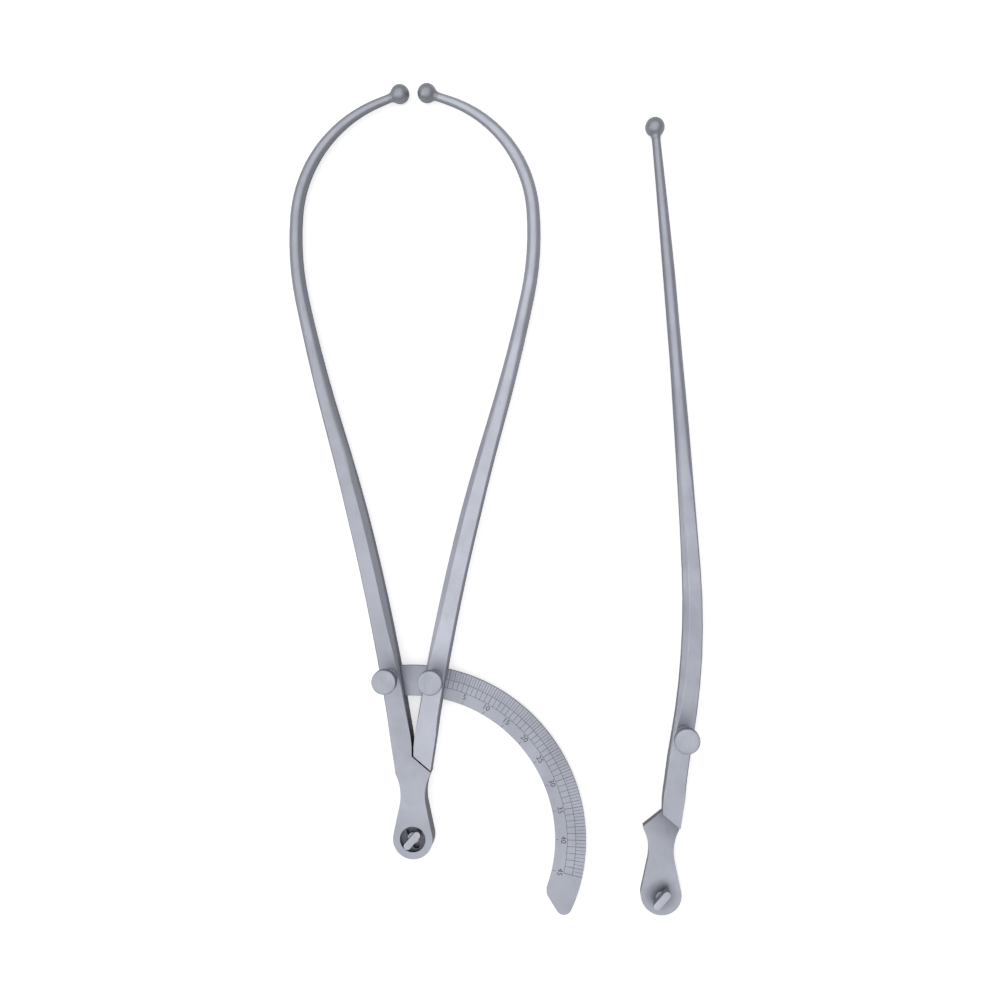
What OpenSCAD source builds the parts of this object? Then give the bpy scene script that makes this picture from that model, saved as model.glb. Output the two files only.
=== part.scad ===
/* [Arms] */
// Width of an arm where the graduated arc meets it
arm_w = 8.8; // [8.4:0.1:9]
// Thickness of an arm, and of the two leaves of the hinge together
arm_t = 8; // [8:0.2:9]
// Hinge axis to the centre of a ball, along the bowed arms
bow_reach = 316; // [306:1:326]
// Hinge axis to the centre of the ball, along the loose straight arm
straight_reach = 320; // [310:1:326]
// Diameter of the ball on the end of each arm
ball_d = 8; // [7.4:0.1:8]
// Diameter of an arm where it enters its ball
arm_end_d = 3.4; // [3.2:0.1:3.8]
// Width of the bevel along the inner side of an arm
inner_bevel = 2.3; // [1.6:0.1:2.6]
// Depth of the bevel along the inner side of an arm
inner_depth = 1.5; // [1:0.1:1.8]
// Chamfer along the outer side of an arm
outer_chamfer = 0.5; // [0.4:0.05:0.7]

/* [Hinge] */
// Radius of the round end of each hinge leaf
bulb_r = 8.5; // [8.2:0.1:8.8]
// Half the width of a leaf at its waist
waist = 5.2; // [5:0.1:5.4]
// Radius of the hollow on each side of the waist
waist_r = 20; // [18:0.5:22]
// Height of the waist above the hinge axis
waist_y = 18.5; // [18:0.5:19.5]
// Half the width of the leaf at its corners
corner_x = 7.6; // [7.3:0.1:7.9]
// Height of the corners of a leaf above the hinge axis
corner_y = 29; // [28.6:0.2:29.6]
// Height of the crotch, where the seam between the arms turns down to a corner
crotch_y = 35.3; // [34.6:0.1:36]
// Gap along the seam between one arm's leaf and the other arm's shoulder
seam_gap = 0.6; // [0.5:0.05:0.8]
// Gap between the arms just above the crotch
slit_gap = 0.8; // [0.7:0.05:1]
// Diameter of the hinge pin
pin_d = 4.8; // [4.4:0.1:5.2]
// Diameter of the recess for the key head
recess_d = 11; // [10.6:0.1:11.4]
// Depth of the recess for the key head
recess_depth = 1.8; // [1.6:0.1:2]
// Length of the key head
key_l = 9.3; // [9:0.1:9.6]
// Width of the key head
key_w = 3; // [2.6:0.1:3.2]
// Height of the key head above the front face
key_proud = 1.8; // [0:0.1:2.2]
// Direction of the key head with the calliper closed
key_angle = 50; // [45:1:55]
// Opening at which the key head meets its notches and the arms come apart
take_apart = 116; // [112:1:124]

/* [Graduated arc] */
// Radius of the middle of the arc, from the hinge axis
arc_r = 66.7; // [66:0.1:68]
// Width of the arc
arc_w = 13; // [12:0.5:13.5]
// Thickness of the arc
arc_t = 1.6; // [1.4:0.1:1.8]
// Lowest face of the arc above the back of the arms
arc_z = 2; // [1.9:0.1:2.2]
// Angle of the inner corner at the free end
arc_end = -21.6; // [-22.5:0.1:-20]
// Angle of the rounded tip's centre at the free end
arc_tip = -23.9; // [-25:0.1:-23]
// Radius of the rounded tip
arc_tip_r = 3.4; // [3:0.1:4]
// Clearance of the arc in the mortise that it slides through
slide_gap = 0.2; // [0.15:0.05:0.25]

/* [Thumb screws] */
// Diameter of the screw head
head_d = 10.5; // [10:0.1:11]
// Thickness of the screw head
head_t = 3.6; // [3:0.1:4]
// Top of the screw head above the face of the arm
head_rise = 14; // [12:0.1:15]
// Diameter of the neck under the head
neck_d = 4.6; // [4.2:0.1:5]
// Diameter of the collar at the foot of the neck
collar_d = 6.4; // [6:0.1:6.8]
// Diameter of the screw
screw_d = 3; // [2.8:0.1:3.2]
// How far the screws stand outside the middle of the arc
screw_out = 3.3; // [2.5:0.1:3.6]

/* [Loose straight arm] */
// Where the loose arm's hinge end lies, across and along
straight_at = [104.5, -21.5]; // [-300:0.5:300]

/* [Hidden] */
$fn = 96;

nickel = [0.74, 0.76, 0.79];
leaf_t = arm_t / 2;
running_gap = 0.05;
eps = 0.5;

// Centre line of an arm: where it starts above the hinge, its heading from +Y towards +X, and its
// tangent arcs as [length, turn]
bow_start = [(arm_w + slit_gap) / 2, 40, 8.3];
bow_arcs = [[138.2, 8.2], [56.2, -4.4], [36.6, -16.8], [62, -65], [10, 0]];
straight_start = [(arm_w + slit_gap) / 2, 38.6, 4.6];
straight_arcs = [[27, 5.1], [69, -13.3], [180, -2.3]];
// Length of the squared stretch between the hinge and the tapered bar, and the bar's step in from it
block_l = 4;
block_step = 0.08;
// Width of a bowed arm, width of the straight arm and thickness of both, as shares of the full size
// along the length
bow_law = [[0, 1], [0.15, 1], [0.33, 0.94], [0.42, 0.86], [0.5, 0.79], [0.6, 0.7], [0.7, 0.65], [0.84, 0.59]];
straight_law = [[0, 1], [0.22, 0.95], [0.39, 0.81], [0.57, 0.7], [0.66, 0.61], [0.78, 0.58], [0.9, 0.47]];
thick_law = [[0, 1], [0.2, 1], [0.36, 0.9], [0.64, 0.72]];
// Share of the length where the bevelled bar starts and ends turning round
round_from = 0.3;
round_to = 0.66;
// Share of the length where the inner bevel starts and ends growing, and its size at the start
bevel_from = 0.05;
bevel_to = 0.2;
bevel_foot = 0.4;
sides = 24;
// The end faces are closed from a point in the middle of a chamfer, so that no three points are in line
cap_from = 3;

// Height of the straight flare from the hollow of the waist to a corner of the leaf
flare = 1.2;
// The tenon at the end of an arm, its seat in the ball and the gap round the arm in its socket
tenon_d = 2.4;
tenon_l = 2.8;
seat_d = 3.3;
socket_gap = 0.08;
tenon_gap = 0.02;

arc_inner = arc_r - arc_w / 2;
arc_outer = arc_r + arc_w / 2;
arc_top = arc_z + arc_t;

// The stud's rivet head, the gap round the key head in its notches, and the floor of the recess
rivet_d = 7;
rivet_t = 1.1;
key_gap = 0.15;
key_floor = arm_t - recess_depth;

// The screws: bore, bottom of the blind bore, height of a loose collar and the end's clearance
screw_bore_d = screw_d + 0.06;
blind_z = 0.7;
clamp_lift = 0.6;
end_gap = 0.1;
collar_t = 1;
edge_r = 0.7;
flare_r = 1.4;

function heading(h) = [sin(h), cos(h)];
function across(h) = [cos(h), -sin(h)];
// The end of an arc of a given length and turn that leaves [x, y, heading]
function arc_step(p, length, turn) =
    abs(turn) < 0.01
    ? [p.x + length * sin(p[2]), p.y + length * cos(p[2]), p[2]]
    : let (r = length / (turn * PI / 180))
      [p.x + r * (cos(p[2]) - cos(p[2] + turn)), p.y + r * (sin(p[2] + turn) - sin(p[2])), p[2] + turn];
// The point of a chain of arcs at distance s from its start
function chain_at(p, arcs, s, i = 0) =
    i == len(arcs) - 1 || s <= arcs[i][0]
    ? arc_step(p, s, arcs[i][1] * s / arcs[i][0])
    : chain_at(arc_step(p, arcs[i][0], arcs[i][1]), arcs, s - arcs[i][0], i + 1);
function chain_length(arcs, i = 0) = i == len(arcs) ? 0 : arcs[i][0] + chain_length(arcs, i + 1);
// The chain's lengths stretched so that its last point lies at the reach
function stretched(arcs, k) = [for (a = arcs) [a[0] * k, a[1]]];
function reach_of(start, arcs) = norm([for (i = [0, 1]) chain_at(start, arcs, chain_length(arcs))[i]]);
function to_reach(start, arcs, reach, n = 4) =
    n == 0 ? arcs : to_reach(start, stretched(arcs, reach / reach_of(start, arcs)), reach, n - 1);
// Distance along a chain at which it is a given radius from the hinge axis
function s_at_radius(start, arcs, r, s = 30, n = 6) =
    n == 0 ? s : s_at_radius(start, arcs, r, s + r - norm([for (i = [0, 1]) chain_at(start, arcs, s)[i]]), n - 1);

bow = to_reach(bow_start, bow_arcs, bow_reach);
straight = to_reach(straight_start, straight_arcs, straight_reach);
function at_arc(start, arcs) = chain_at(start, arcs, s_at_radius(start, arcs, arc_r + screw_out));
bow_screw = at_arc(bow_start, bow);
straight_screw = at_arc(straight_start, straight);
bow_tip = chain_at(bow_start, bow, chain_length(bow));
straight_tip = chain_at(straight_start, straight, chain_length(straight));

// Stations along a chain, closer together where it bends more
function arc_steps(a) = max(ceil(abs(a[1]) / 3), ceil(a[0] / 13));
function stops(arcs, i = 0, s0 = 0) =
    i == len(arcs) ? [] :
    concat([for (k = [0 : arc_steps(arcs[i]) - 1]) s0 + arcs[i][0] * k / arc_steps(arcs[i])],
           stops(arcs, i + 1, s0 + arcs[i][0]));
function bar_stops(arcs) =
    let (last = chain_length(arcs) - seat_d)
    concat([block_l - 1, block_l + 0.5], [for (s = stops(arcs)) if (s > block_l + 2 && s < last - 1) s], [last]);

function smooth(x) = let (u = min(1, max(0, x))) u * u * (3 - 2 * u);
// One point of a bar's section, a bevelled rectangle: half the width a, half the thickness b and a
// bevel c of some width and depth, wide on the inner side and small on the outer side
function quarter(k, a, b, c) =
    [[a, 0], [a, (b - c.y) / 2], [a, b - c.y], [a - c.x / 2, b - c.y / 2], [a - c.x, b], [(a - c.x) / 2, b],
     [0, b]][k];
function boxed(k, a, b, outer, inner) =
    k <= 6 ? quarter(k, a, b, outer) :
    k <= 12 ? let (q = quarter(12 - k, a, b, inner)) [-q.x, q.y] :
    k <= 18 ? let (q = quarter(k - 12, a, b, inner)) [-q.x, -q.y] :
    let (q = quarter(24 - k, a, b, outer)) [q.x, -q.y];
function mixed(a, b, k) = (1 - k) * a + k * b;
// The section at a share of the length, 15 degrees apart: it turns from bevelled to round
function section(u, law) =
    let (k = smooth((u - round_from) / (round_to - round_from)),
         a = lookup(u, concat(law, [[1, arm_end_d / arm_w]])) * arm_w / 2 - block_step * (1 - u),
         b = mixed(lookup(u, thick_law) * arm_t / 2 - block_step * (1 - u), a, k),
         foot = [bevel_foot, bevel_foot],
         inner = mixed(foot, [inner_bevel, inner_depth], smooth((u - bevel_from) / (bevel_to - bevel_from))))
    [for (i = [0 : sides - 1])
        mixed(boxed(i, a, b, [outer_chamfer, outer_chamfer], inner),
              [a * cos(i * 360 / sides), b * sin(i * 360 / sides)], k)];
function ring(start, arcs, law, s) =
    let (p = chain_at(start, arcs, s), x = across(p[2]))
    [for (q = section(s / chain_length(arcs), law)) [p.x + q.x * x.x, p.y + q.x * x.y, leaf_t + q.y]];

// The tapered bar from the hinge block to the seat in the ball
module bar(start, arcs, law) {
    s = bar_stops(arcs);
    n = len(s);
    points = [for (d = s) each ring(start, arcs, law, d)];
    sleeve = [for (i = [0 : n - 2], j = [0 : sides - 1])
        let (a = i * sides + j, b = i * sides + (j + 1) % sides)
        each [[a, b, b + sides], [a, b + sides, a + sides]]];
    foot = [for (j = [0 : sides - 1]) (cap_from - j + sides) % sides];
    top = [for (j = [0 : sides - 1]) (n - 1) * sides + (cap_from + j) % sides];
    polyhedron(points = points, faces = concat(sleeve, [foot, top]));
}

// Turns the Z axis back along the end of an arm, with its zero at the centre of the ball
module at_tip(tip) {
    translate([tip.x, tip.y, leaf_t]) rotate([0, 0, -tip[2]]) rotate([90, 0, 0]) children();
}

function seam_y(x) = crotch_y + (corner_y - crotch_y) * x / corner_x;
seam_tilt = atan((crotch_y - corner_y) / corner_x);
seam_lift = seam_gap / 2 / cos(seam_tilt);

// The straight side of a leaf touches both the round end and the hollow of the waist
hollow_at = [waist + waist_r, waist_y];
side_angle = atan(hollow_at.y / hollow_at.x) - acos((bulb_r + waist_r) / norm(hollow_at));
hollow_end = asin((corner_y - flare - waist_y) / waist_r);
function hollow(n = 12) =
    [for (i = [0 : n]) let (a = 180 + side_angle + (-hollow_end - side_angle) * i / n)
        hollow_at + waist_r * [cos(a), sin(a)]];
function flipped(points) = [for (i = [len(points) - 1 : -1 : 0]) [-points[i].x, points[i].y]];

function block_corner(start, arcs, side, s = block_l) =
    let (p = chain_at(start, arcs, s), x = across(p[2]))
    [p.x + side * x.x * arm_w / 2, p.y + side * x.y * arm_w / 2];
// The block's outer end, up to its far corner and down the side that faces the other arm
function block_end(start, arcs) =
    [block_corner(start, arcs, 1), block_corner(start, arcs, -1), block_corner(start, arcs, -1, block_l - 2),
     [slit_gap / 2, crotch_y + 4]];

// The round end runs from one tangent point with the leaf's sides to the other
function round_end(n = 56) =
    [for (i = [0 : n]) let (a = 180 - side_angle + (180 + 2 * side_angle) * i / n) bulb_r * [cos(a), sin(a)]];

// Both leaves have this outline: round end, waist, one cut corner and the foot of the bar
module leaf_outline(start, arcs) {
    polygon(concat(
        round_end(),
        hollow(),
        [[corner_x, corner_y + seam_lift]],
        block_end(start, arcs),
        [[slit_gap / 2, seam_y(-slit_gap / 2) - seam_lift], [-corner_x, corner_y - seam_lift]],
        flipped(hollow())));
}

// The half of the block that faces the other arm's leaf ends in a sloping shoulder
module shoulder_outline(start, arcs) {
    polygon(concat([[corner_x, corner_y + seam_lift]], block_end(start, arcs),
                   [[slit_gap / 2, seam_y(slit_gap / 2) + seam_lift]]));
}

// An arm with its leaf at the back, as on the right of the calliper
module plain_arm(start, arcs, law, tip) {
    linear_extrude(leaf_t) leaf_outline(start, arcs);
    translate([0, 0, leaf_t]) linear_extrude(leaf_t) shoulder_outline(start, arcs);
    bar(start, arcs, law);
    at_tip(tip) translate([0, 0, seat_d - tenon_l]) cylinder(d = tenon_d, h = tenon_l + eps);
}

// Turns an arm over, so that its leaf is at the front and it leans the other way
module turned_over() {
    translate([0, 0, arm_t]) rotate([0, 180, 0]) children();
}

// The way of the arc through an arm, with a gap at its edges, under it and over it
module arc_mortise(edge, under, over) {
    rotate([0, 0, 60]) rotate_extrude(angle = 60)
        translate([arc_inner - edge, arc_z - under]) square([arc_w + 2 * edge, arc_t + under + over]);
}

module bore(at, d, from, to) {
    translate([at.x, at.y, from]) cylinder(d = d, h = to - from);
}

module rear_leaf_arm(start, arcs, law, tip, screw) {
    difference() {
        plain_arm(start, arcs, law, tip);
        bore([0, 0], pin_d, -eps, arm_t);
        cylinder(d1 = rivet_d, d2 = pin_d, h = rivet_t);
        arc_mortise(slide_gap, slide_gap, slide_gap);
        bore(screw, screw_bore_d, arc_top, arm_t + eps);
    }
}

module left_arm() {
    color(nickel)
    difference() {
        turned_over() plain_arm(bow_start, bow, bow_law, bow_tip);
        bore([0, 0], pin_d + 2 * running_gap, 0, arm_t);
        translate([0, 0, key_floor]) cylinder(d = recess_d, h = recess_depth + eps);
        rotate([0, 0, key_angle - take_apart]) translate([0, 0, leaf_t - eps])
            linear_extrude(leaf_t) key_outline(key_gap);
        arc_mortise(running_gap, 0, 2 * running_gap);
        bore([-bow_screw.x, bow_screw.y], screw_bore_d, blind_z, arm_t + eps);
    }
}

module right_arm() {
    color(nickel) rear_leaf_arm(bow_start, bow, bow_law, bow_tip, bow_screw);
}

module straight_arm() {
    color(nickel) translate(straight_at)
        rear_leaf_arm(straight_start, straight, straight_law, straight_tip, straight_screw);
}

// The ball is socketed on the arm's tenon and hides the arm's end
module ball(tip) {
    difference() {
        translate([tip.x, tip.y, leaf_t]) rotate([0, 0, -tip[2]]) sphere(d = ball_d);
        at_tip(tip) translate([0, 0, seat_d - tenon_l - tenon_gap])
            cylinder(d = tenon_d + 2 * tenon_gap, h = tenon_l + eps);
        at_tip(tip) translate([0, 0, seat_d]) cylinder(d = arm_end_d + 2 * socket_gap, h = ball_d);
    }
}

module left_ball() {
    color(nickel) turned_over() ball(bow_tip);
}

module right_ball() {
    color(nickel) ball(bow_tip);
}

module straight_arm_ball() {
    color(nickel) translate(straight_at) ball(straight_tip);
}

// The oval of the key head, or of its notches with a gap round it
module key_outline(gap) {
    square([key_l - key_w, key_w + 2 * gap], center = true);
    for (side = [-1, 1]) translate([side * (key_l - key_w) / 2, 0]) circle(d = key_w + 2 * gap);
}

// Riveted flush at the back, a plain neck through the front leaf, and the oval key head
module stud() {
    cylinder(d1 = rivet_d, d2 = pin_d, h = rivet_t);
    cylinder(d = pin_d, h = key_floor + running_gap);
    rotate([0, 0, key_angle]) translate([0, 0, key_floor + running_gap])
        linear_extrude(recess_depth + key_proud - running_gap) key_outline(0);
}

module pivot_stud() {
    color(nickel) stud();
}

module straight_arm_stud() {
    color(nickel) translate(straight_at) stud();
}

function polar(r, a) = r * [cos(a), sin(a)];
// The root of the arc ends just inside the far side of the left arm
arc_root = 180 - atan(bow_screw.y / (bow_screw.x + arm_w / 2 - 0.3));
tip_at = polar(arc_outer - arc_tip_r, arc_tip);
inner_end = polar(arc_inner, arc_end);
to_tip = tip_at - inner_end;
tip_slope = atan2(to_tip.y, to_tip.x) - asin(arc_tip_r / norm(to_tip));
tip_touch = inner_end + sqrt(to_tip * to_tip - arc_tip_r * arc_tip_r) * [cos(tip_slope), sin(tip_slope)];

module graduated_arc() {
    color(nickel)
    translate([0, 0, arc_z])
    difference() {
        union() {
            rotate([0, 0, arc_end]) rotate_extrude(angle = arc_root - arc_end)
                translate([arc_inner, 0]) square([arc_w, arc_t]);
            linear_extrude(arc_t) {
                polygon([inner_end, tip_touch, tip_at, polar(arc_outer, arc_tip), polar(arc_outer, arc_end)]);
                translate(tip_at) circle(arc_tip_r);
            }
        }
        bore([-bow_screw.x, bow_screw.y], screw_bore_d, -eps, arc_t + eps);
    }
}

function quarter_turn(at, r, from, to, n = 6) =
    [for (i = [0 : n]) let (a = from + (to - from) * i / n) at + r * [cos(a), sin(a)]];

// Half the outline of a turned thumb screw, with its zero height on the face of the arm
module screw_outline(foot, end) {
    under = head_rise - head_t;
    polygon(concat(
        [[0, end], [screw_d / 2 - 0.3, end], [screw_d / 2, end + 0.3], [screw_d / 2, foot], [collar_d / 2, foot],
         [collar_d / 2, foot + collar_t - 0.3], [collar_d / 2 - 0.3, foot + collar_t],
         [neck_d / 2, foot + collar_t]],
        quarter_turn([neck_d / 2 + flare_r, under - flare_r], flare_r, 180, 90),
        quarter_turn([head_d / 2 - edge_r, under + edge_r], edge_r, -90, 0),
        quarter_turn([head_d / 2 - edge_r, head_rise - edge_r], edge_r, 0, 90),
        [[0, head_rise]]));
}

// A thumb screw over a place, with its collar at a height above the face of the arm
module thumb_screw(at, foot, end) {
    translate([at.x, at.y, arm_t]) rotate_extrude() screw_outline(foot, end);
}

module scale_screw() {
    color(nickel) thumb_screw([-bow_screw.x, bow_screw.y], running_gap, blind_z + end_gap - arm_t);
}

module clamp_screw() {
    color(nickel) thumb_screw(bow_screw, clamp_lift, arc_top + end_gap - arm_t);
}

module straight_arm_clamp_screw() {
    color(nickel) translate(straight_at) thumb_screw(straight_screw, clamp_lift, arc_top + end_gap - arm_t);
}

left_arm();
left_ball();
right_arm();
right_ball();
pivot_stud();
graduated_arc();
scale_screw();
clamp_screw();
straight_arm();
straight_arm_ball();
straight_arm_stud();
straight_arm_clamp_screw();
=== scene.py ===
import math

import bmesh
import bpy
from mathutils import Matrix, Vector


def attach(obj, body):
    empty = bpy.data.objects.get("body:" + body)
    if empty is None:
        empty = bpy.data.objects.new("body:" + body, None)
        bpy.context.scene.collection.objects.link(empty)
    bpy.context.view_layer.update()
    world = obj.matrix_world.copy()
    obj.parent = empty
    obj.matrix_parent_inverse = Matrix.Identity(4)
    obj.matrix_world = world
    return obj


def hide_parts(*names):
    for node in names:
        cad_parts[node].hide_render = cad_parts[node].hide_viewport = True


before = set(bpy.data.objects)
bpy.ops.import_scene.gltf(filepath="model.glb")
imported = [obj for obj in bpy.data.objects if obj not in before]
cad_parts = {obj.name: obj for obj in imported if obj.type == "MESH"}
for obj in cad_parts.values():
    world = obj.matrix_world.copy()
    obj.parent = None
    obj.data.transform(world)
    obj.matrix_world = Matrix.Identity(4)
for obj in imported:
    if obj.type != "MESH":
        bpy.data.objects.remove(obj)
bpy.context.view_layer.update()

# Sizes are in millimetres and angles in degrees, unless a comment says otherwise. MM makes metres.
MM = 0.001

# Where the photograph was taken from, and its focal length in pixels of an image IMAGE_PX wide
CAMERA_AT = (71.66, 149.07, 400.0)
CAMERA_PAN = 5.03
CAMERA_TILT = -0.75
FOCAL_PX = 941.0
IMAGE_PX = 1000
SENSOR_MM = 36.0

# The arc: radii of the band, of its two engraved circles and of its figures, where its tip starts,
# and the height of its face
ARC_INNER, ARC_OUTER = 60.2, 73.2
INNER_CIRCLE, OUTER_CIRCLE = 65.3, 68.9
FIGURE_CIRCLE = 63.6
ARC_END = -21.6
ARC_TOP = 3.6

# Hinge to ball, the diameter of a ball, the angle between the arms as they lie, where the edge of
# the right arm then stands on the arc, and the last mark
ARM_REACH = 316.0
BALL = 8.0
CLOSED_ANGLE = 2.102
CLOSED_EDGE = 78.59
LAST_CM = 45

# Width and thickness of an arm's hinge block. For each arm: where its block ends, its bar's heading
# there from +Y towards +X, and the body that it rides on
BLOCK_W, BLOCK_T = 8.8, 8.0
ARMS = {"left_arm": ((-5.386, 43.957), -8.54, "left_side"),
        "right_arm": ((5.386, 43.957), 8.54, "right_side"),
        "straight_arm": ((109.647, 21.085), 5.34, "straight_side")}

# The loose arm's hinge centre, and from that centre a corner of its leaf and the height of its crotch
LOOSE_AT = (104.5, -21.5)
LEAF_CORNER = (7.6, 29.0)
CROTCH_Y = 35.3

# For each ball: its centre, the way its arm leaves it from +X, and the body that it rides on
BALLS = {"left_ball": ((-5.796, 315.947, 4.0), 200.3, "left_side"),
         "right_ball": ((5.796, 315.947, 4.0), -20.3, "right_side"),
         "straight_arm_ball": ((101.232, 298.482, 4.0), -84.1, "straight_side")}

# For each riveted stud: the body that it rides on
STUDS = {"pivot_stud": "right_side", "straight_arm_stud": "straight_side"}

# For each thumb screw: its place, the heights of its collar's foot and of its lower end over the
# arm's face, and the body that it is
ARM_FACE = 8.0
SCREWS = {"scale_screw": ((-9.544, 69.346), 0.05, -7.2, "scale_screw"),
          "clamp_screw": ((9.544, 69.346), 0.6, -4.3, "clamp_screw"),
          "straight_arm_clamp_screw": ((113.305, 47.944), 0.6, -4.3, "straight_clamp_screw")}


# ---------------------------------------------------------------- modelling by hand

# Points closer than this are one: in a CAD copy, on its flat faces, and in a finished piece
CAD_WELD, FLAT_WELD, PIECE_WELD = 0.0005, 0.01, 0.001
# A face thinner than this is dropped
SLIVER = 0.002
# An edge that turns more than the first is sharp, and faces that turn less than the second are flat
SHARP_EDGE, FLAT_FACE = 30, 0.3


def object_mode():
    bpy.ops.object.mode_set(mode="OBJECT")


def edit_all():
    bpy.ops.object.mode_set(mode="EDIT")
    bpy.ops.mesh.select_all(action="SELECT")


def nothing_selected():
    if bpy.context.object and bpy.context.object.mode != "OBJECT":
        object_mode()
    bpy.ops.object.select_all(action="DESELECT")


def take(obj):
    nothing_selected()
    obj.select_set(True)
    bpy.context.view_layer.objects.active = obj


def call_it(name):
    obj = bpy.context.object
    obj.name = obj.data.name = name
    return obj


def modify(obj, kind, **values):
    """Adds a modifier, sets it up and applies it."""
    take(obj)
    modifier = obj.modifiers.new(kind.lower(), kind)
    for key, value in values.items():
        setattr(modifier, key, value)
    bpy.ops.object.modifier_apply(modifier=modifier.name)


def settle(obj, crease=32):
    """Puts the piece's place into its mesh, turns its faces outwards and smooths all but its edges."""
    take(obj)
    bpy.ops.object.transform_apply(location=True, rotation=True, scale=True)
    edit_all()
    bpy.ops.mesh.remove_doubles(threshold=PIECE_WELD * MM)
    bpy.ops.mesh.normals_make_consistent(inside=False)
    object_mode()
    bpy.ops.object.shade_smooth_by_angle(angle=math.radians(crease))
    modify(obj, "WEIGHTED_NORMAL", mode="FACE_AREA", weight=80, keep_sharp=True)
    nothing_selected()


def from_cad(node, name):
    """A copy of a CAD node with its loose triangles joined, ready to be finished."""
    nothing_selected()
    obj = bpy.data.objects.new(name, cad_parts[node].data.copy())
    obj.data.name = name
    bpy.context.scene.collection.objects.link(obj)
    obj.data.materials.clear()
    take(obj)
    edit_all()
    bpy.ops.mesh.remove_doubles(threshold=CAD_WELD * MM)
    bpy.ops.mesh.customdata_custom_splitnormals_clear()
    object_mode()
    return obj


def joined(obj):
    """Joins the flat faces that the CAD mesh cuts into triangles."""
    take(obj)
    edit_all()
    bpy.ops.mesh.remove_doubles(threshold=FLAT_WELD * MM)
    bpy.ops.mesh.dissolve_degenerate(threshold=SLIVER * MM)
    bpy.ops.mesh.select_all(action="SELECT")
    bpy.ops.mesh.dissolve_limited(angle_limit=math.radians(FLAT_FACE))
    object_mode()
    return obj


def rounded(obj, width, segments=2, edge=-1):
    """Rounds the sharp edges; edge is the number of the metal they show, or -1 for the faces' own."""
    modify(obj, "BEVEL", width=width * MM, segments=segments, limit_method="ANGLE",
           angle_limit=math.radians(SHARP_EDGE), miter_outer="MITER_ARC", harden_normals=False,
           use_clamp_overlap=True, material=edge)


def fitted(obj, body, node):
    """Puts a finished piece in the place of its CAD node, on the node's body."""
    nothing_selected()
    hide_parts(node)
    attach(obj, body)


def dressed(obj, material, body, node):
    """The same for a piece of one metal."""
    obj.data.materials.clear()
    obj.data.materials.append(material)
    fitted(obj, body, node)


def turned(name, outline, steps):
    """A turned piece on the Z axis, drawn up from its bottom: radius and height."""
    nothing_selected()
    radius, height = outline[0]
    bpy.ops.mesh.primitive_circle_add(vertices=steps, radius=radius * MM, fill_type="NGON",
                                      location=(0, 0, height * MM))
    bpy.ops.object.mode_set(mode="EDIT")
    for (r0, z0), (r1, z1) in zip(outline, outline[1:]):
        bpy.ops.mesh.extrude_region_move(TRANSFORM_OT_translate={"value": (0, 0, (z1 - z0) * MM)})
        bpy.ops.transform.resize(value=(r1 / r0, r1 / r0, 1), center_override=(0, 0, z1 * MM))
    object_mode()
    bpy.ops.object.transform_apply(location=True, rotation=False, scale=False)
    return call_it(name)


def curve_round(centre, radius, start, end, steps):
    """Points of an arc in an outline, as radius and height; the angle turns from outwards to upwards."""
    angles = [math.radians(start + (end - start) * i / steps) for i in range(steps + 1)]
    return [(centre[0] + radius * math.cos(a), centre[1] + radius * math.sin(a)) for a in angles]


# ---------------------------------------------------------------- finishes

# What of each noise shows: where a mask starts, and where it is full
CLOUD_BAND, PIT_BAND, SCRATCH_BAND = (0.32, 0.68), (0.3, 0.7), (0.6, 0.72)
WAX_BAND = (0.4, 0.7)
# How far up a normal points where the faces end and where the sides' painted shade is full
SIDE_BAND = (0.9, 0.1)
# The way the scratches run, and how they are drawn out along it
SCRATCH_TURN, SCRATCH_STRETCH = 17, (6, 0.6, 2)

# The painted shade in the stud's recess: none and full, by distance from the hinge axis and by height
RECESS_RIM, RECESS_TOP, RECESS_FLOOR = (5.75, 5.45), (7.85, 7.2), (3.0, 4.0)
# The painted shade on the loose arm's leaf: none and full, by distance before its step and from its stud,
# and by height over and under the leaf's face, then how fast it deepens and its share round the stud
STEP_FOOT, STUD_RING = (-11.0, 0.2), (7.0, 2.6)
OVER_LEAF, UNDER_LEAF = (5.2, 4.2), (3.4, 3.8)
STEP_SHADE_DEEPENS, STUD_SHARE = 1.6, 0.9

# The plate: its duller clouds, the darkening in its pits, their depth, and what a scratch adds
CLOUD_SHADE = 0.86
PIT_SHADE = 0.35
PIT_DEPTH = 0.006
PIT_STRENGTH = 0.6
SCRATCH_DEPTH = 0.6
SCRATCH_ROUGHNESS = 0.12
CLOUD_ROUGHER, CLOUD_SMOOTHER = 0.05, 0.04
METAL_SHARE = 0.85

# The black wax in the marks: as filled and where it is worn, and how fine its wear is
WAX, WORN_WAX = (0.06, 0.065, 0.078), (0.13, 0.14, 0.16)
WAX_SCALE = 900.0
WAX_SMOOTH, WAX_ROUGH = 0.6, 0.8


def socket_group(name, inputs, outputs):
    group = bpy.data.node_groups.new(name, "ShaderNodeTree")
    for label, kind, value in inputs:
        socket = group.interface.new_socket(label, in_out="INPUT", socket_type=kind)
        if value is not None:
            socket.default_value = value
    for label, kind in outputs:
        group.interface.new_socket(label, in_out="OUTPUT", socket_type=kind)
    return group, group.nodes.new("NodeGroupInput"), group.nodes.new("NodeGroupOutput")


def feed(tree, socket, value):
    """Gives a socket a plain number, or links it to another."""
    if isinstance(value, (int, float)):
        socket.default_value = value
    else:
        tree.links.new(value, socket)


def maths(tree, operation, a, b=None):
    node = tree.nodes.new("ShaderNodeMath")
    node.operation = operation
    feed(tree, node.inputs[0], a)
    if b is not None:
        feed(tree, node.inputs[1], b)
    return node.outputs[0]


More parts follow.
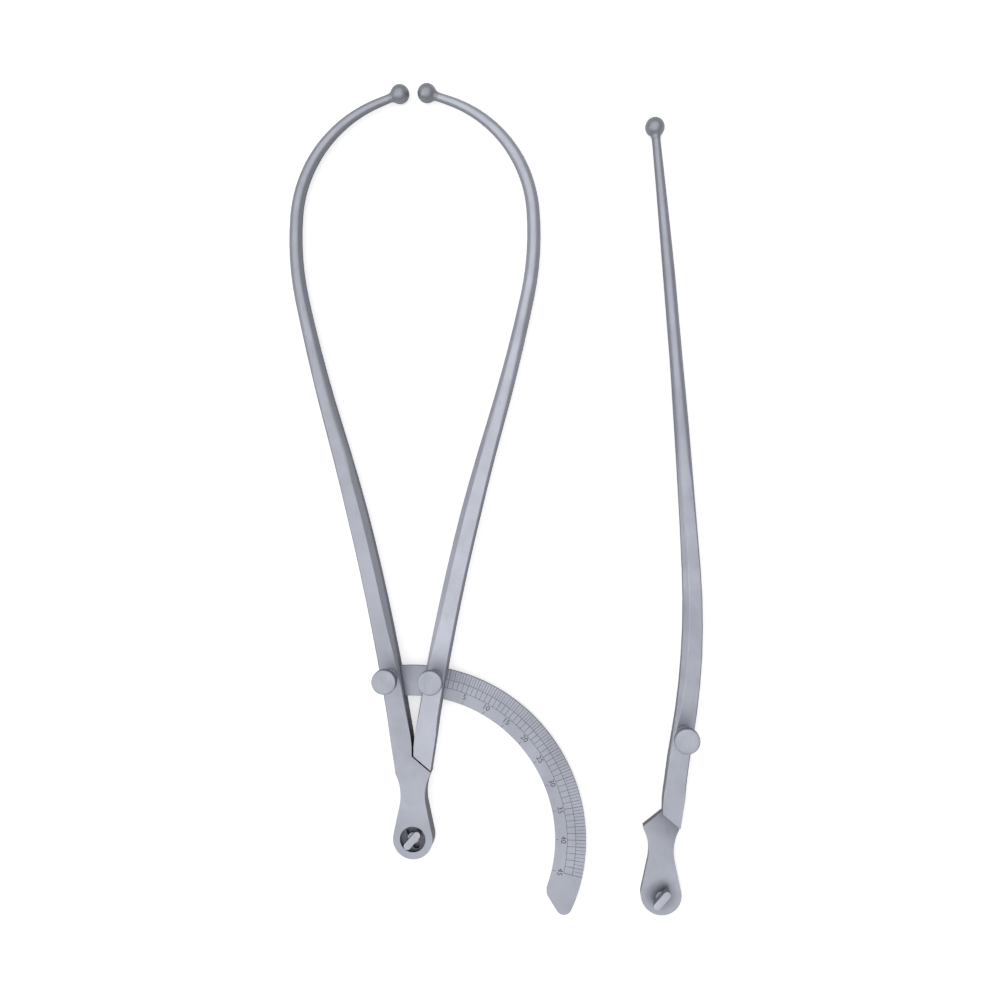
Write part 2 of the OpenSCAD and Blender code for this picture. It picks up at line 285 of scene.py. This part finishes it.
def spread(tree, value, low, high, to_low=0.0, to_high=1.0):
    node = tree.nodes.new("ShaderNodeMapRange")
    for key, number in (("From Min", low), ("From Max", high), ("To Min", to_low), ("To Max", to_high)):
        node.inputs[key].default_value = number
    tree.links.new(value, node.inputs["Value"])
    return node.outputs["Result"]


def fade(tree, value, none, full):
    """A mask of 0 at one size and 1 at the other."""
    return spread(tree, value, none * MM, full * MM)


def length(tree, x, y):
    return maths(tree, "SQRT", maths(tree, "ADD", maths(tree, "MULTIPLY", x, x),
                                     maths(tree, "MULTIPLY", y, y)))


def noise(tree, where, scale, detail, roughness):
    node = tree.nodes.new("ShaderNodeTexNoise")
    node.inputs["Detail"].default_value = detail
    node.inputs["Roughness"].default_value = roughness
    feed(tree, node.inputs["Scale"], scale)
    tree.links.new(where, node.inputs["Vector"])
    return node.outputs["Fac"]


def tone(tree, factor, a, b):
    """A colour between a and b; each is a socket or three numbers."""
    node = tree.nodes.new("ShaderNodeMix")
    node.data_type = "RGBA"
    tree.links.new(factor, node.inputs["Factor"])
    for key, value in (("A", a), ("B", b)):
        socket = [s for s in node.inputs if s.name == key and s.type == "RGBA"][0]
        if isinstance(value, (tuple, list)):
            socket.default_value = (*value, 1)
        else:
            tree.links.new(value, socket)
    return [s for s in node.outputs if s.type == "RGBA"][0]


def make_plate_wear():
    """Cloudy plating, fine pits, small handling scratches, and the sides for painted shade, as masks from 0
    to 1.
    """
    group, given, out = socket_group(
        "plate_wear_and_shade",
        [("Place", "NodeSocketVector", None), ("Facing", "NodeSocketVector", None),
         ("Cloud Scale", "NodeSocketFloat", 60.0), ("Pit Scale", "NodeSocketFloat", 2600.0),
         ("Scratch Scale", "NodeSocketFloat", 260.0)],
        [("Cloud", "NodeSocketFloat"), ("Pits", "NodeSocketFloat"), ("Scratches", "NodeSocketFloat"),
         ("Sides", "NodeSocketFloat")])
    link = group.links.new
    cloud = noise(group, given.outputs["Place"], given.outputs["Cloud Scale"], 4.0, 0.55)
    link(spread(group, cloud, *CLOUD_BAND), out.inputs["Cloud"])
    pits = noise(group, given.outputs["Place"], given.outputs["Pit Scale"], 2.0, 0.6)
    link(spread(group, pits, *PIT_BAND), out.inputs["Pits"])
    stretch = group.nodes.new("ShaderNodeMapping")
    stretch.inputs["Rotation"].default_value = (0, 0, math.radians(SCRATCH_TURN))
    stretch.inputs["Scale"].default_value = SCRATCH_STRETCH
    link(given.outputs["Place"], stretch.inputs["Vector"])
    lines = noise(group, stretch.outputs["Vector"], given.outputs["Scratch Scale"], 2.0, 0.4)
    link(spread(group, lines, *SCRATCH_BAND), out.inputs["Scratches"])
    split = group.nodes.new("ShaderNodeSeparateXYZ")
    link(given.outputs["Facing"], split.inputs["Vector"])
    upright = maths(group, "ABSOLUTE", split.outputs["Z"])
    link(spread(group, upright, *SIDE_BAND), out.inputs["Sides"])
    return group


def dirt_group(name):
    """A group that masks painted shade by place: the group, its output, and a place's three measures."""
    group, given, out = socket_group(name, [("Place", "NodeSocketVector", None)],
                                     [("PaintedShade", "NodeSocketFloat")])
    split = group.nodes.new("ShaderNodeSeparateXYZ")
    group.links.new(given.outputs["Place"], split.inputs["Vector"])
    return group, out.inputs["PaintedShade"], split.outputs


def make_recess_shade():
    """A mask of the stud's recess in the front leaf, where shade is painted into the colour."""
    group, painted_shade, (x, y, z) = dirt_group("recess_shade")
    inside = fade(group, length(group, x, y), *RECESS_RIM)
    below = fade(group, z, *RECESS_TOP)
    above = fade(group, z, *RECESS_FLOOR)
    mask = maths(group, "MULTIPLY", maths(group, "MULTIPLY", inside, below), above)
    group.links.new(mask, painted_shade)
    return group


def make_step_shade():
    """A mask of painted shade on the loose arm's leaf: at the foot of its step and round its stud."""
    group, painted_shade, (x, y, z) = dirt_group("step_shade")
    foot = Vector((LOOSE_AT[0] + LEAF_CORNER[0], LOOSE_AT[1] + LEAF_CORNER[1])) * MM
    rise = math.atan2(CROTCH_Y - LEAF_CORNER[1], LEAF_CORNER[0])
    away = Vector((math.sin(rise), math.cos(rise)))
    along = maths(group, "ADD", maths(group, "MULTIPLY", x, away.x),
                  maths(group, "MULTIPLY", y, away.y))
    near = fade(group, maths(group, "SUBTRACT", along, foot.dot(away)), *STEP_FOOT)
    low = maths(group, "MULTIPLY", fade(group, z, *OVER_LEAF), fade(group, z, *UNDER_LEAF))
    from_stud = [maths(group, "SUBTRACT", axis, centre * MM)
                 for axis, centre in zip((x, y), LOOSE_AT)]
    ring = fade(group, length(group, *from_stud), *STUD_RING)
    round_stud = maths(group, "MULTIPLY", ring, STUD_SHARE)
    both = maths(group, "MAXIMUM", maths(group, "POWER", near, STEP_SHADE_DEEPENS), round_stud)
    group.links.new(maths(group, "MULTIPLY", both, low), painted_shade)
    return group


def new_finish(name):
    """A new material: itself, its nodes, its shader and the place on the piece."""
    material = bpy.data.materials.new(name)
    material.use_nodes = True
    tree = material.node_tree
    return material, tree, tree.nodes["Principled BSDF"], tree.nodes.new("ShaderNodeTexCoord")


def nickel(name, face, side, rough, cloud=60.0, painted_shade=None, shade_tone=None):
    """Satin nickel plate: a pale face, sides in painted shade, a cloudy sheen, fine pits, and painted shade
    where a mask is given.
    """
    material, tree, shader, place = new_finish(name)
    wear = tree.nodes.new("ShaderNodeGroup")
    wear.node_tree = PLATE_WEAR_AND_SHADE
    wear.inputs["Cloud Scale"].default_value = cloud
    tree.links.new(place.outputs["Object"], wear.inputs["Place"])
    tree.links.new(place.outputs["Normal"], wear.inputs["Facing"])
    dull = [c * CLOUD_SHADE for c in face]
    plate = tone(tree, wear.outputs["Cloud"], dull, face)
    # The sides are painted darker, as shade, by how far their normal tilts from up
    colour = tone(tree, wear.outputs["Sides"], plate, side)
    # Painted shade where a mask is given: the colour darkens towards its shade tone
    if painted_shade:
        where = tree.nodes.new("ShaderNodeGroup")
        where.node_tree = painted_shade
        tree.links.new(place.outputs["Object"], where.inputs["Place"])
        colour = tone(tree, where.outputs["PaintedShade"], colour, shade_tone)
    specks = maths(tree, "MULTIPLY", wear.outputs["Pits"], PIT_SHADE)
    tree.links.new(tone(tree, specks, colour, dull), shader.inputs["Base Color"])
    polish = spread(tree, wear.outputs["Cloud"], 0, 1, rough + CLOUD_ROUGHER, rough - CLOUD_SMOOTHER)
    scratched = maths(tree, "MULTIPLY", wear.outputs["Scratches"], SCRATCH_ROUGHNESS)
    tree.links.new(maths(tree, "ADD", polish, scratched), shader.inputs["Roughness"])
    bump = tree.nodes.new("ShaderNodeBump")
    bump.inputs["Distance"].default_value = PIT_DEPTH * MM
    bump.inputs["Strength"].default_value = PIT_STRENGTH
    grooves = maths(tree, "MULTIPLY", wear.outputs["Scratches"], SCRATCH_DEPTH)
    tree.links.new(maths(tree, "SUBTRACT", wear.outputs["Pits"], grooves), bump.inputs["Height"])
    tree.links.new(bump.outputs["Normal"], shader.inputs["Normal"])
    shader.inputs["Metallic"].default_value = METAL_SHARE
    return material


def engraving_black():
    """The black wax that fills the scale, greyed with wear."""
    material, tree, shader, place = new_finish("engraving_black")
    worn = spread(tree, noise(tree, place.outputs["Object"], WAX_SCALE, 3.0, 0.5), *WAX_BAND)
    tree.links.new(tone(tree, worn, WAX, WORN_WAX), shader.inputs["Base Color"])
    tree.links.new(spread(tree, worn, 0, 1, WAX_SMOOTH, WAX_ROUGH), shader.inputs["Roughness"])
    return material


PLATE_WEAR_AND_SHADE = make_plate_wear()
RECESS_SHADE = make_recess_shade()
STEP_SHADE = make_step_shade()
# The colour of the sides: painted shade, like the side colours given to the other metals below
SHADED_SIDE = (0.142, 0.149, 0.171)
# The painted shade in the stud's recess, and at the foot of the loose arm's step and round its stud
RECESS_SHADE_TONE, STEP_SHADE_TONE = (0.065, 0.068, 0.080), (0.190, 0.198, 0.227)
ARM_NICKEL = nickel("arm_nickel", (0.477, 0.497, 0.565), SHADED_SIDE, 0.42,
                    painted_shade=RECESS_SHADE, shade_tone=RECESS_SHADE_TONE)
# The right arm's copy of the arm nickel, painted lighter to stand for the stronger light on its face
RIGHT_NICKEL_PAINTED_LIGHTER = nickel("right_arm_nickel_painted_lighter", (0.585, 0.607, 0.684), SHADED_SIDE, 0.42,
                      painted_shade=RECESS_SHADE, shade_tone=RECESS_SHADE_TONE)
LOOSE_NICKEL = nickel("loose_arm_nickel", (0.477, 0.497, 0.567), (0.135, 0.142, 0.162), 0.44,
                      painted_shade=STEP_SHADE, shade_tone=STEP_SHADE_TONE)
# A paler, smoother nickel for the rounded edges: a painted highlight where they catch the light
PAINTED_HIGHLIGHT_EDGE = nickel("painted_highlight_edge", (0.68, 0.70, 0.76), (0.50, 0.515, 0.57), 0.36)
ARC_NICKEL = nickel("arc_nickel", (0.477, 0.497, 0.567), SHADED_SIDE, 0.45, cloud=45.0)
SCREW_NICKEL = nickel("screw_nickel", (0.495, 0.517, 0.587), (0.170, 0.177, 0.201), 0.46, cloud=150.0)
STUD_NICKEL = nickel("stud_nickel", (0.56, 0.576, 0.648), (0.24, 0.248, 0.28), 0.42, cloud=150.0)
BALL_NICKEL = nickel("ball_nickel", (0.42, 0.434, 0.482), (0.27, 0.281, 0.315), 0.44, cloud=220.0)
ENGRAVED = engraving_black()
ARM_METALS = {"left_arm": ARM_NICKEL, "right_arm": RIGHT_NICKEL_PAINTED_LIGHTER, "straight_arm": LOOSE_NICKEL}


# ---------------------------------------------------------------- arms, balls and studs

# How far the ledge at the end of a hinge block reaches along the bar and out over the block, and how
# deep it is
LEDGE_ALONG, LEDGE_OVER, LEDGE_DEPTH = (-0.1, 0.6), 0.1, 0.7
ARM_ROUNDING, STUD_ROUNDING = 0.28, 0.45

# The hollow flare behind a ball, the arm's own radius there, and where the outline starts beside the
# far pole
FLARE = 2.5
NECK = 1.83
POLE = -86
# How far past the flare it runs on, then narrows, and by how much, to tuck into the arm
TUCK_START, TUCK_END, TUCK_IN = 0.3, 0.42, 0.1
BALL_STEPS, SPHERE_STEPS, FLARE_STEPS = 48, 16, 6


def without_ledge(arm, end, heading):
    """Draws the ledge at the end of the hinge block in, so that the bar's bevels run out there."""
    turn = math.radians(heading)
    ahead, aside = Vector((math.sin(turn), math.cos(turn))), Vector((math.cos(turn), -math.sin(turn)))
    start, stop = LEDGE_ALONG
    for point in arm.data.vertices:
        offset = point.co.xy / MM - Vector(end)
        along, across, up = offset.dot(ahead), offset.dot(aside), point.co.z / MM - BLOCK_T / 2
        if not start < along < stop or abs(across) > BLOCK_W / 2 + LEDGE_OVER:
            continue
        if abs(across) > BLOCK_W / 2 - LEDGE_DEPTH:
            across = math.copysign(BLOCK_W / 2, across)
        if abs(up) > BLOCK_T / 2 - LEDGE_DEPTH:
            up = math.copysign(BLOCK_T / 2, up)
        place = Vector(end) + aside * across
        point.co = Vector((place.x, place.y, up + BLOCK_T / 2)) * MM
    return arm


def ball_outline():
    """A ball drawn from its far pole, with a hollow flare down to the arm's own thickness."""
    r, centre = BALL / 2, NECK + FLARE
    along = math.sqrt((r + FLARE) ** 2 - centre ** 2)
    touch = math.degrees(math.atan2(along, centre))
    sphere = curve_round((0, 0), r, POLE, touch, SPHERE_STEPS)
    flare = curve_round((centre, along), FLARE, touch - 180, -180, FLARE_STEPS)
    tuck = [(NECK, along + TUCK_START), (NECK - TUCK_IN, along + TUCK_END)]
    return sphere + flare[1:] + tuck


for node, (end, heading, body) in ARMS.items():
    arm = joined(without_ledge(from_cad(node, "finished_" + node), end, heading))
    arm.data.materials.append(ARM_METALS[node])
    # The rounded edges take the painted highlight metal
    arm.data.materials.append(PAINTED_HIGHLIGHT_EDGE)
    rounded(arm, ARM_ROUNDING, edge=1)
    settle(arm)
    fitted(arm, body, node)

for node, (centre, leaves, body) in BALLS.items():
    ball = turned("turned_" + node, ball_outline(), BALL_STEPS)
    along_arm = Matrix.Rotation(math.radians(leaves), 4, "Z") @ Matrix.Rotation(math.pi / 2, 4, "Y")
    ball.matrix_world = Matrix.Translation(Vector(centre) * MM) @ along_arm
    settle(ball)
    dressed(ball, BALL_NICKEL, body, node)

for node, body in STUDS.items():
    stud = joined(from_cad(node, "riveted_" + node))
    rounded(stud, STUD_ROUNDING, 3)
    settle(stud)
    dressed(stud, STUD_NICKEL, body, node)


# ---------------------------------------------------------------- thumb screws

# The head: its top over the arm's face, its thickness, radius and rounding, and how far its dome rises
HEAD_TOP, HEAD_T, HEAD_R, HEAD_EDGE = 14.0, 3.6, 5.1, 0.5
DOME = 0.12
# Under it, as radii: the screw, its collar and its neck, and the flare from the neck to the head
SCREW_R, COLLAR_R, SCREW_NECK, HEAD_FLARE = 1.5, 3.2, 2.3, 1.4
COLLAR_T, COLLAR_CHAMFER, END_CHAMFER = 1.0, 0.25, 0.3
# The grip: its teeth, how far its two rows of points stand inside the head's faces, the margins that
# find them, and the share of its radius that every other point keeps
GRIP_TEETH = 56
GRIP_ROW, GRIP_MARGIN, RIM_MARGIN = 0.95, 0.9, 0.01
GRIP_KEEPS = 0.972
EDGE_STEPS = 4
SCREW_CREASE = 28


def screw_outline(foot, end):
    """A thumb screw drawn up from its end: screw, collar, neck, flare and a faintly domed head."""
    under = HEAD_TOP - HEAD_T
    rise = HEAD_TOP - DOME
    screw = [(SCREW_R - END_CHAMFER, end), (SCREW_R, end + END_CHAMFER), (SCREW_R, foot)]
    collar = [(COLLAR_R - COLLAR_CHAMFER, foot), (COLLAR_R, foot + COLLAR_CHAMFER),
              (COLLAR_R, foot + COLLAR_T - COLLAR_CHAMFER),
              (COLLAR_R - COLLAR_CHAMFER, foot + COLLAR_T), (SCREW_NECK, foot + COLLAR_T)]
    neck = curve_round((SCREW_NECK + HEAD_FLARE, under - HEAD_FLARE), HEAD_FLARE, 180, 90,
                       FLARE_STEPS)
    rim = curve_round((HEAD_R - HEAD_EDGE, under + HEAD_EDGE), HEAD_EDGE, -90, 0, EDGE_STEPS)
    grip = [(HEAD_R, under + GRIP_ROW), (HEAD_R, rise - GRIP_ROW)]
    brim = curve_round((HEAD_R - HEAD_EDGE, rise - HEAD_EDGE), HEAD_EDGE, 0, 84, EDGE_STEPS)
    dome = [(3.5, rise + 0.05), (2.0, rise + 0.1), (0.6, HEAD_TOP)]
    return screw + collar + neck + rim + grip + brim + dome


def cut_grip(obj):
    """Presses the fine teeth of the grip into the rim: every other point of its two rows goes in."""
    low, high = HEAD_TOP - HEAD_T + GRIP_MARGIN, HEAD_TOP - GRIP_MARGIN
    take(obj)
    for point in obj.data.vertices:
        x, y, z = point.co / MM
        turn = round(math.degrees(math.atan2(y, x)) / 360 * GRIP_TEETH * 2)
        on_rim = math.hypot(x, y) > HEAD_R - RIM_MARGIN
        point.select = on_rim and low < z < high and turn % 2 == 0
    for part in (obj.data.edges, obj.data.polygons):
        part.foreach_set("select", [False] * len(part))
    bpy.ops.object.mode_set(mode="EDIT")
    bpy.ops.mesh.select_mode(type="VERT")
    bpy.ops.transform.resize(value=(GRIP_KEEPS, GRIP_KEEPS, 1), center_override=(0, 0, 0))
    object_mode()


for node, (place, foot, end, body) in SCREWS.items():
    screw = turned("turned_" + node, screw_outline(foot, end), GRIP_TEETH * 2)
    cut_grip(screw)
    screw.location = Vector((*place, ARM_FACE)) * MM
    settle(screw, SCREW_CREASE)
    dressed(screw, SCREW_NICKEL, body, node)


# ---------------------------------------------------------------- graduated arc

# The marks each 5, 10 and 50 mm of opening: their widths, and how far in each reaches
MARK_WIDTHS = {5: 0.13, 10: 0.17, 50: 0.20}
MARK_REACH = {5: OUTER_CIRCLE, 10: INNER_CIRCLE, 50: INNER_CIRCLE}
# Half the width of an engraved circle, where the short marks at the inner edge start and end from it,
# and how far the outer ones stop short of the outer edge
CIRCLE_HALF = 0.08
EDGE_MARK_START, EDGE_MARK_END = 0.3, 1.5
OUTER_MARGIN = 0.1
# How deep the marks are cut, and how high their cutter stands
MARK_DEPTH, CUTTER_HEIGHT = 0.1, 0.5
# A figure's type size, half the thickness of its cutter, and how far the cutter's middle stands over
# the arc's face
FIGURE_SIZE, FIGURE_HALF, FIGURE_OVER = 3.2, 0.3, 0.2
FIGURE_SMOOTHNESS = 4
FIGURE_EACH_CM = 5
ARC_ROUNDING = 0.2
# The blunted corner of the tip: how far the rounding reaches, its steps, and how near its edge is found
TIP_CORNER, TIP_STEPS, TIP_MARGIN = 2.2, 5, 0.3


def mark_angle(opening):
    """Where the edge of the right arm stands on the arc at an opening between the balls."""
    chord = 2 * math.degrees(math.asin((opening + BALL) / (2 * ARM_REACH)))
    return CLOSED_EDGE - (chord - CLOSED_ANGLE)


def mark_kind(opening):
    return 50 if opening % 50 == 0 else 10 if opening % 10 == 0 else 5


def scale_marks():
    """Each mark of the scale: the angles of its two sides, and its kind."""
    marks = []
    for step in range(1, LAST_CM * 2 + 1):
        opening = step * 5
        kind = mark_kind(opening)
        half = math.degrees(MARK_WIDTHS[kind] / 2 / OUTER_CIRCLE)
        marks.append((mark_angle(opening) - half, mark_angle(opening) + half, kind))
    return marks


def engraved_at(r, kind):
    """Whether the scale is cut at a radius, between the sides of a mark of this kind or of none."""
    on_circle = abs(r - INNER_CIRCLE) < CIRCLE_HALF or abs(r - OUTER_CIRCLE) < CIRCLE_HALF
    on_mark = kind is not None and r > MARK_REACH[kind] - CIRCLE_HALF
    at_edge = kind == 50 and r < ARC_INNER + EDGE_MARK_END
    return on_circle or on_mark or at_edge


def scale_network():
    """The engraved lines of the scale as one flat sheet of faces, cut from a fan of small cells."""
    marks = scale_marks()
    radii = [ARC_INNER + EDGE_MARK_START, ARC_INNER + EDGE_MARK_END,
             INNER_CIRCLE - CIRCLE_HALF, INNER_CIRCLE + CIRCLE_HALF,
             OUTER_CIRCLE - CIRCLE_HALF, OUTER_CIRCLE + CIRCLE_HALF, ARC_OUTER - OUTER_MARGIN]
    angles = sorted({mark_angle(0)} | {a for mark in marks for a in mark[:2]}, reverse=True)
    height = (ARC_TOP - MARK_DEPTH) * MM
    sheet = bmesh.new()
    corner = [[sheet.verts.new((r * MM * math.cos(math.radians(a)), r * MM * math.sin(math.radians(a)),
                                height)) for r in radii] for a in angles]
    for i in range(len(angles) - 1):
        middle = (angles[i] + angles[i + 1]) / 2
        kind = next((k for low, high, k in marks if low < middle < high), None)
        here, there = corner[i], corner[i + 1]
        for j in range(len(radii) - 1):
            if engraved_at((radii[j] + radii[j + 1]) / 2, kind):
                sheet.faces.new((here[j], here[j + 1], there[j + 1], there[j]))
    bmesh.ops.delete(sheet, geom=[v for v in sheet.verts if not v.link_faces], context="VERTS")
    mesh = bpy.data.meshes.new("scale_cutter")
    sheet.to_mesh(mesh)
    sheet.free()
    return bpy.data.objects.new("scale_cutter", mesh)


def filled_black(cutter):
    """A cutter's faces leave black filling in the arc."""
    cutter.data.materials.clear()
    cutter.data.materials.append(ARC_NICKEL)
    cutter.data.materials.append(ENGRAVED)
    for polygon in cutter.data.polygons:
        polygon.material_index = 1


def marks_cutter():
    """The scale's lines as one solid."""
    cutter = scale_network()
    bpy.context.scene.collection.objects.link(cutter)
    take(cutter)
    edit_all()
    bpy.ops.mesh.extrude_region_move(TRANSFORM_OT_translate={"value": (0, 0, CUTTER_HEIGHT * MM)})
    bpy.ops.mesh.select_all(action="SELECT")
    bpy.ops.mesh.normals_make_consistent(inside=False)
    object_mode()
    filled_black(cutter)
    return cutter


def figure_cutter(cm):
    """A centimetre figure as a solid, in its place on the arc with its foot towards the hinge."""
    angle = math.radians(mark_angle(cm * 10))
    middle = Vector((math.cos(angle), math.sin(angle), 0)) * FIGURE_CIRCLE * MM
    nothing_selected()
    bpy.ops.object.text_add()
    figure = call_it("figure")
    figure.data.body = str(cm)
    figure.data.size = FIGURE_SIZE * MM
    figure.data.align_x, figure.data.align_y = "CENTER", "CENTER"
    figure.data.extrude = FIGURE_HALF * MM
    figure.data.resolution_u = FIGURE_SMOOTHNESS
    bpy.ops.object.convert(target="MESH")
    figure = bpy.context.object
    figure.matrix_world = (Matrix.Translation(middle + Vector((0, 0, (ARC_TOP + FIGURE_OVER) * MM)))
                           @ Matrix.Rotation(angle - math.pi / 2, 4, "Z"))
    settle(figure)
    filled_black(figure)
    return figure


def blunt_corner(obj):
    """Rounds the corner where the arc's inner edge meets the slope of its tip."""
    turn = math.radians(ARC_END)
    corner = Vector((math.cos(turn), math.sin(turn))) * ARC_INNER
    take(obj)
    bpy.ops.object.mode_set(mode="EDIT")
    bpy.ops.mesh.select_all(action="DESELECT")
    object_mode()
    for edge in obj.data.edges:
        ends = [obj.data.vertices[i].co for i in edge.vertices]
        edge.select = all((end.xy / MM - corner).length < TIP_MARGIN for end in ends)
    bpy.ops.object.mode_set(mode="EDIT")
    bpy.ops.mesh.select_mode(type="EDGE")
    bpy.ops.mesh.bevel(offset=TIP_CORNER * MM, segments=TIP_STEPS)
    object_mode()


def cut_with(obj, cutter):
    modify(obj, "BOOLEAN", operation="DIFFERENCE", solver="EXACT", object=cutter)
    bpy.data.objects.remove(cutter)


arc = joined(from_cad("graduated_arc", "engraved_arc"))
arc.data.materials.append(ARC_NICKEL)
arc.data.materials.append(ENGRAVED)
blunt_corner(arc)
rounded(arc, ARC_ROUNDING)
cut_with(arc, marks_cutter())
for cm in range(FIGURE_EACH_CM, LAST_CM + 1, FIGURE_EACH_CM):
    cut_with(arc, figure_cutter(cm))
settle(arc)
fitted(arc, "left_side", "graduated_arc")


# ---------------------------------------------------------------- floor, light and camera

# In metres: the floor's width and middle, a hair under the part's backs, and what the window lamp
# points at
FLOOR_SIZE, FLOOR_AT = 6, (0.06, 0.15, -0.00003)
LIT_PLACE = (0.06, 0.12, 0)
PAPER_TONE, PAPER_ROUGHNESS, PAPER_GLOW = (0.93, 0.93, 0.935, 1), 0.9, 0.5
SKY_TONE, SKY_STRENGTH = (0.98, 0.985, 1.0, 1), 0.34
# For each lamp: its place and size in metres, its power in watts, and what it points at; one that
# points at nothing shines straight down
LAMPS = {"window_left": ((-0.95, -0.05, 0.48), 0.5, 0.9, LIT_PLACE),
         "soft_ceiling": ((-0.4, 0.15, 1.3), 3.0, 21.8, None)}


def lay_floor():
    """White paper that glows a little for the camera, as an overexposed ground does."""
    nothing_selected()
    bpy.ops.mesh.primitive_plane_add(size=FLOOR_SIZE, location=FLOOR_AT)
    floor = call_it("floor")
    paper = bpy.data.materials.new("white_paper")
    paper.use_nodes = True
    tree = paper.node_tree
    shader = tree.nodes["Principled BSDF"]
    shader.inputs["Base Color"].default_value = PAPER_TONE
    shader.inputs["Roughness"].default_value = PAPER_ROUGHNESS
    shader.inputs["Emission Color"].default_value = (1, 1, 1, 1)
    seen = tree.nodes.new("ShaderNodeLightPath").outputs["Is Camera Ray"]
    tree.links.new(maths(tree, "MULTIPLY", seen, PAPER_GLOW), shader.inputs["Emission Strength"])
    floor.data.materials.append(paper)


def light_up():
    world = bpy.data.worlds.new("studio")
    world.use_nodes = True
    sky = world.node_tree.nodes["Background"]
    sky.inputs["Color"].default_value = SKY_TONE
    sky.inputs["Strength"].default_value = SKY_STRENGTH
    bpy.context.scene.world = world
    for name, (place, size, power, aim) in LAMPS.items():
        lamp = bpy.data.lights.new(name, "AREA")
        lamp.size, lamp.energy = size, power
        light = bpy.data.objects.new(name, lamp)
        light.location = place
        if aim:
            light.rotation_euler = (Vector(aim) - Vector(place)).to_track_quat("-Z", "Y").to_euler()
        bpy.context.scene.collection.objects.link(light)


def set_up_camera():
    camera = bpy.data.objects.new("camera", bpy.data.cameras.new("camera"))
    camera.data.sensor_width = SENSOR_MM
    camera.data.lens = FOCAL_PX / IMAGE_PX * SENSOR_MM
    camera.data.clip_start = 0.01
    camera.matrix_world = (Matrix.Translation(Vector(CAMERA_AT) * MM)
                           @ Matrix.Rotation(math.radians(CAMERA_PAN), 4, "Y")
                           @ Matrix.Rotation(math.radians(CAMERA_TILT), 4, "X"))
    bpy.context.scene.collection.objects.link(camera)
    bpy.context.scene.camera = camera
    bpy.context.scene.view_settings.view_transform = "Standard"


lay_floor()
light_up()
set_up_camera()
